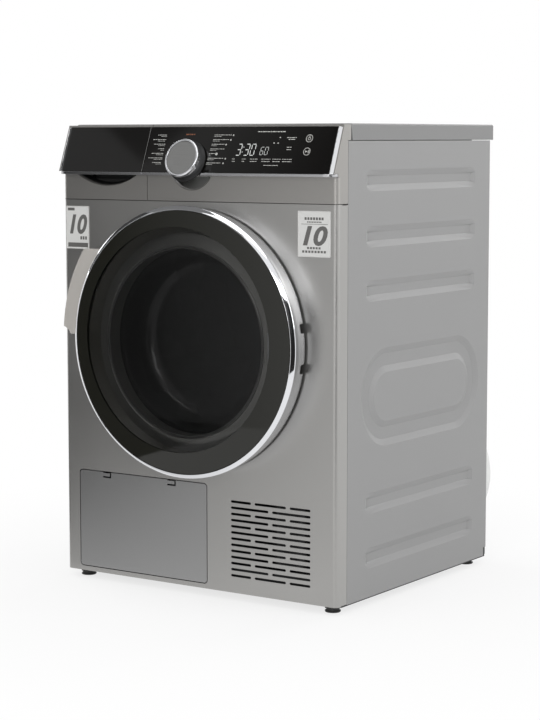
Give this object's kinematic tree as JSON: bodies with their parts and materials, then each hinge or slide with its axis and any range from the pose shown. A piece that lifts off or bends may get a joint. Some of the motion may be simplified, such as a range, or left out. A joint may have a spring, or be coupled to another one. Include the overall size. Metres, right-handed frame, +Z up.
{
  "type": "clothes dryer",
  "caption": "Free-standing front-loading clothes dryer with a heat pump base, round glass door, sloping control panel, program dial, water tank drawer and service flap.",
  "frame": {"origin": "on the floor, below the middle of the dryer's bounding box", "axes": "+Z up, the door side faces -Y, +X is to the right seen from the front"},
  "size_m": [0.6, 0.627, 0.845],
  "materials": {
    "panel_silver": "satin",
    "side_grey": "satin",
    "zinc": "galvanised",
    "strip_silver": "satin metallic paint",
    "top_grey": "satin",
    "control_black": "gloss",
    "chrome": "polished",
    "satin_trim": "satin",
    "brushed_face": "brushed",
    "black_plastic": "fine grain",
    "dark_plastic": "fine grain",
    "grey_plastic": "fine grain",
    "white_plastic": "smooth",
    "handle_grey": "gloss",
    "door_black": "gloss, black printed back",
    "bowl_clear": "clear",
    "seal_rubber": "matt",
    "felt": "felt",
    "drum_steel": "brushed",
    "coil_aluminium": "plain",
    "motor_aluminium": "cast",
    "compressor_black": "gloss black",
    "shaft_steel": "ground",
    "board_green": "printed board",
    "tank_plastic": "translucent",
    "filter_grey": "fine mesh",
    "foot_rubber": "fine grain"
  },
  "bodies": {
    "cabinet": {"base_tray": "dark_plastic", "side_panel_left": "side_grey", "side_panel_right": "side_grey", "back_panel": "zinc", "fan_cover": "white_plastic", "front_panel": "panel_silver", "front_bulkhead": "grey_plastic", "door_seal": "seal_rubber", "drum_felts": "felt", "rear_wall": "zinc", "top_cover": "top_grey", "console_frame": "strip_silver", "control_glass": "control_black", "console_lip": "satin_trim", "control_board": "board_green", "tank_guide": "grey_plastic", "evaporator_coil": "coil_aluminium", "condenser_coil": "coil_aluminium", "exchanger_filter": "filter_grey", "duct_cover": "dark_plastic", "compressor": "compressor_black", "motor_bracket": "zinc", "motor_housing": "motor_aluminium", "drum_belt": "seal_rubber", "lint_filter": "filter_grey", "condensate_pump": "white_plastic", "door_lock": "black_plastic", "moisture_sensor": "shaft_steel", "cord_inlet": "black_plastic", "back_screws": "shaft_steel", "hinge_bracket": "zinc", "flap_hinge": "shaft_steel"},
    "drum": {"drum_shell": "drum_steel", "drum_back": "drum_steel", "drum_lifters": "grey_plastic"},
    "rotor": {"motor_shaft": "shaft_steel", "process_fan": "black_plastic"},
    "idler": {"idler_arm": "zinc"},
    "idler_wheel": {"idler_pulley": "shaft_steel"},
    "roller_left": {"drum_roller_left": "seal_rubber"},
    "roller_right": {"drum_roller_right": "seal_rubber"},
    "door": {"door_ring": "chrome", "door_glass": "door_black", "door_inner_frame": "grey_plastic", "door_bowl": "bowl_clear", "door_handle": "handle_grey", "door_hook": "white_plastic", "door_hinge": "zinc"},
    "drawer": {"tank_front": "strip_silver", "tank_glass": "control_black", "tank_lip": "satin_trim", "water_tank": "tank_plastic"},
    "flap": {"service_flap": "strip_silver"},
    "dial": {"dial_body": "black_plastic", "dial_ring": "chrome", "dial_face": "brushed_face"},
    "foot_front_left_body": {"foot_front_left": "foot_rubber"},
    "foot_front_right_body": {"foot_front_right": "foot_rubber"},
    "foot_rear_left_body": {"foot_rear_left": "foot_rubber"},
    "foot_rear_right_body": {"foot_rear_right": "foot_rubber"}
  },
  "joints": [
    {"name": "door_swing", "type": "hinge", "parent": "cabinet", "child": "door", "pos_m": [0.225, -0.2905, 0.461], "axis": [0, 0, 1], "range_deg": [0, 115]},
    {"name": "drawer_slide", "type": "slide", "parent": "cabinet", "child": "drawer", "axis": [0, -1, 0], "range_m": [0, 0.38]},
    {"name": "flap_tilt", "type": "hinge", "parent": "cabinet", "child": "flap", "pos_m": [-0.1215, -0.259, 0.031], "axis": [1, 0, 0], "range_deg": [0, 90]},
    {"name": "dial_turn", "type": "hinge", "parent": "cabinet", "child": "dial", "pos_m": [-0.006, -0.27223, 0.778], "axis": [0, -0.9342, 0.3567], "continuous": true},
    {"name": "drum_spin", "type": "hinge", "parent": "cabinet", "child": "drum", "pos_m": [0, 0.0365, 0.5], "axis": [0, 1, 0], "continuous": true},
    {"name": "motor_spin", "type": "hinge", "parent": "cabinet", "child": "rotor", "pos_m": [0.16, 0.0365, 0.169], "axis": [0, 1, 0], "continuous": true},
    {"name": "roller_left_spin", "type": "hinge", "parent": "cabinet", "child": "roller_left", "pos_m": [-0.17397, -0.1705, 0.25155], "axis": [0, 1, 0], "continuous": true},
    {"name": "roller_right_spin", "type": "hinge", "parent": "cabinet", "child": "roller_right", "pos_m": [0.17397, -0.1705, 0.25155], "axis": [0, 1, 0], "continuous": true},
    {"name": "idler_swing", "type": "hinge", "parent": "cabinet", "child": "idler", "pos_m": [0.115, -0.0575, 0.082], "axis": [0, -1, 0], "range_deg": [0, 12], "stiffness_Nm_per_rad": 2, "springref_deg": -17.19},
    {"name": "idler_wheel_spin", "type": "hinge", "parent": "idler", "child": "idler_wheel", "pos_m": [0.07545, -0.0735, 0.16093], "axis": [0, 1, 0], "continuous": true},
    {"name": "foot_front_left_turn", "type": "hinge", "parent": "cabinet", "child": "foot_front_left_body", "pos_m": [-0.273, -0.2335, 0.014], "axis": [0, 0, 1], "continuous": true},
    {"name": "foot_front_right_turn", "type": "hinge", "parent": "cabinet", "child": "foot_front_right_body", "pos_m": [0.273, -0.2335, 0.014], "axis": [0, 0, 1], "continuous": true},
    {"name": "foot_rear_left_turn", "type": "hinge", "parent": "cabinet", "child": "foot_rear_left_body", "pos_m": [-0.273, 0.248, 0.014], "axis": [0, 0, 1], "continuous": true},
    {"name": "foot_rear_right_turn", "type": "hinge", "parent": "cabinet", "child": "foot_rear_right_body", "pos_m": [0.273, 0.248, 0.014], "axis": [0, 0, 1], "continuous": true}
  ],
  "couplings": [
    {"joint": "motor_spin", "follows": "drum_spin", "ratio": 23.167},
    {"joint": "roller_left_spin", "follows": "drum_spin", "ratio": -11.12},
    {"joint": "roller_right_spin", "follows": "drum_spin", "ratio": -11.12},
    {"joint": "idler_wheel_spin", "follows": "drum_spin", "ratio": -15.611}
  ]
}
